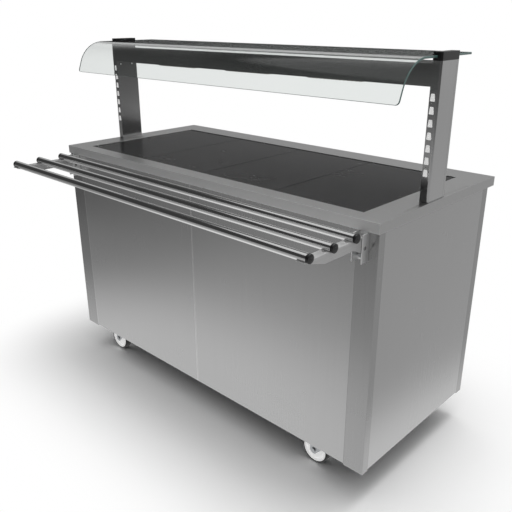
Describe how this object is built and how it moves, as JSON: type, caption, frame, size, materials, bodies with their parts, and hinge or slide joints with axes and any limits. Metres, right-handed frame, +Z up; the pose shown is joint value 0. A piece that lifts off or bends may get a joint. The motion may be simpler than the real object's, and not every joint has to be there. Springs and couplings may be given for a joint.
{
  "type": "heated servery counter",
  "caption": "Mobile heated servery counter: glass hot plates, heated gantry with curved glass, fold-down tray slide and a hot cupboard with sliding doors.",
  "frame": {"origin": "centre of the bounding box on the floor, with the tray slide raised", "axes": "+X along the counter, to the right of a customer who faces it; +Y from the customer's side to the operator's side; +Z up"},
  "size_m": [1.475, 0.923, 1.3],
  "materials": {
    "body_steel": "satin",
    "rail_steel": "polished",
    "lining_steel": "dull",
    "canopy_steel": "dark satin",
    "reflector": "bright",
    "frame_steel": "satin",
    "zinc_plate": "zinc plated",
    "fork_paint": "satin",
    "wheel_rubber": "matt tyre on a pale grey plastic centre",
    "hot_glass": "opaque black ceramic glass",
    "clear_glass": "clear toughened glass",
    "lamp_quartz": "clear quartz",
    "silicone": "matt",
    "heater_mat": "matt",
    "mineral_wool": "fibrous",
    "element_sheath": "heat tinted",
    "black_plastic": "satin",
    "amber_lens": "gloss",
    "white_plastic": "satin",
    "ceramic": "glazed ceramic",
    "pedal_red": "gloss"
  },
  "bodies": {
    "counter": {"worktop": "body_steel", "hot_tiles": "hot_glass", "tile_seal": "silicone", "hot_top_tray": "lining_steel", "tile_heaters": "heater_mat", "insulation": "mineral_wool", "front_panel_left": "body_steel", "front_panel_right": "body_steel", "side_panel_left": "body_steel", "side_panel_right": "body_steel", "front_corner_posts": "body_steel", "rear_corner_posts": "body_steel", "base_frame": "frame_steel", "cupboard_floor": "lining_steel", "cupboard_ceiling": "lining_steel", "liner_front": "lining_steel", "liner_sides": "lining_steel", "mid_shelf": "lining_steel", "floor_heater": "element_sheath", "heater_cover": "lining_steel", "rear_fascia": "body_steel", "rear_plinth": "body_steel", "door_tracks": "lining_steel", "control_gear": "black_plastic", "indicator_lamps": "amber_lens", "gantry_post_left": "body_steel", "gantry_post_right": "body_steel", "post_covers": "body_steel", "post_liners": "white_plastic", "post_caps": "black_plastic", "canopy_shell": "canopy_steel", "canopy_reflector": "reflector", "heat_lamps": "lamp_quartz", "lamp_holders": "ceramic", "lamp_guards": "reflector", "gantry_glass": "clear_glass", "tray_brackets": "body_steel", "tray_pivots": "frame_steel", "castor_plates": "zinc_plate", "cable_gland": "black_plastic", "fasteners": "zinc_plate"},
    "tray": {"tray_arms": "body_steel", "tray_rails": "rail_steel", "rail_caps": "black_plastic"},
    "left_door": {"door_left": "body_steel"},
    "right_door": {"door_right": "body_steel"},
    "cupboard_knob": {"knob_cupboard": "black_plastic"},
    "hot_top_knob": {"knob_hot_top": "black_plastic"},
    "mains_rocker": {"rocker_mains": "black_plastic"},
    "gantry_rocker": {"rocker_gantry": "black_plastic"},
    "swivel_1": {"castor_fork_1": "fork_paint"},
    "wheel_1": {"castor_wheel_1": "wheel_rubber"},
    "swivel_2": {"castor_fork_2": "fork_paint"},
    "wheel_2": {"castor_wheel_2": "wheel_rubber"},
    "swivel_3": {"castor_fork_3": "fork_paint"},
    "wheel_3": {"castor_wheel_3": "wheel_rubber"},
    "swivel_4": {"castor_fork_4": "fork_paint"},
    "wheel_4": {"castor_wheel_4": "wheel_rubber"},
    "brake_3": {"brake_pedal_3": "pedal_red"},
    "brake_4": {"brake_pedal_4": "pedal_red"}
  },
  "joints": [
    {"name": "tray_fold", "type": "hinge", "parent": "counter", "child": "tray", "pos_m": [0, -0.2205, 0.83], "axis": [1, 0, 0], "range_deg": [0, 90]},
    {"name": "left_door_slide", "type": "slide", "parent": "counter", "child": "left_door", "axis": [1, 0, 0], "range_m": [0, 0.673]},
    {"name": "right_door_slide", "type": "slide", "parent": "counter", "child": "right_door", "axis": [-1, 0, 0], "range_m": [0, 0.673]},
    {"name": "cupboard_thermostat", "type": "hinge", "parent": "counter", "child": "cupboard_knob", "pos_m": [0.43, 0.44, 0.831], "axis": [0, -1, 0], "range_deg": [0, 270]},
    {"name": "hot_top_thermostat", "type": "hinge", "parent": "counter", "child": "hot_top_knob", "pos_m": [0.53, 0.44, 0.831], "axis": [0, -1, 0], "range_deg": [0, 270]},
    {"name": "mains_switch", "type": "hinge", "parent": "counter", "child": "mains_rocker", "pos_m": [0.27, 0.4225, 0.831], "axis": [1, 0, 0], "range_deg": [0, 7]},
    {"name": "gantry_switch", "type": "hinge", "parent": "counter", "child": "gantry_rocker", "pos_m": [0.33, 0.4225, 0.831], "axis": [1, 0, 0], "range_deg": [0, 7]},
    {"name": "castor_swivel_1", "type": "hinge", "parent": "counter", "child": "swivel_1", "pos_m": [-0.553, -0.1275, 0.104], "axis": [0, 0, 1], "continuous": true},
    {"name": "wheel_spin_1", "type": "hinge", "parent": "swivel_1", "child": "wheel_1", "pos_m": [-0.595, -0.1275, 0.05], "axis": [0, 1, 0], "continuous": true},
    {"name": "castor_swivel_2", "type": "hinge", "parent": "counter", "child": "swivel_2", "pos_m": [0.553, -0.1275, 0.104], "axis": [0, 0, 1], "continuous": true},
    {"name": "wheel_spin_2", "type": "hinge", "parent": "swivel_2", "child": "wheel_2", "pos_m": [0.511, -0.1275, 0.05], "axis": [0, 1, 0], "continuous": true},
    {"name": "castor_swivel_3", "type": "hinge", "parent": "counter", "child": "swivel_3", "pos_m": [-0.553, 0.35, 0.104], "axis": [0, 0, 1], "continuous": true},
    {"name": "wheel_spin_3", "type": "hinge", "parent": "swivel_3", "child": "wheel_3", "pos_m": [-0.595, 0.35, 0.05], "axis": [0, 1, 0], "continuous": true},
    {"name": "castor_swivel_4", "type": "hinge", "parent": "counter", "child": "swivel_4", "pos_m": [0.553, 0.35, 0.104], "axis": [0, 0, 1], "continuous": true},
    {"name": "wheel_spin_4", "type": "hinge", "parent": "swivel_4", "child": "wheel_4", "pos_m": [0.511, 0.35, 0.05], "axis": [0, 1, 0], "continuous": true},
    {"name": "brake_lever_3", "type": "hinge", "parent": "swivel_3", "child": "brake_3", "pos_m": [-0.643, 0.35, 0.09], "axis": [0, -1, 0], "range_deg": [0, 6]},
    {"name": "brake_lever_4", "type": "hinge", "parent": "swivel_4", "child": "brake_4", "pos_m": [0.463, 0.35, 0.09], "axis": [0, -1, 0], "range_deg": [0, 6]}
  ]
}
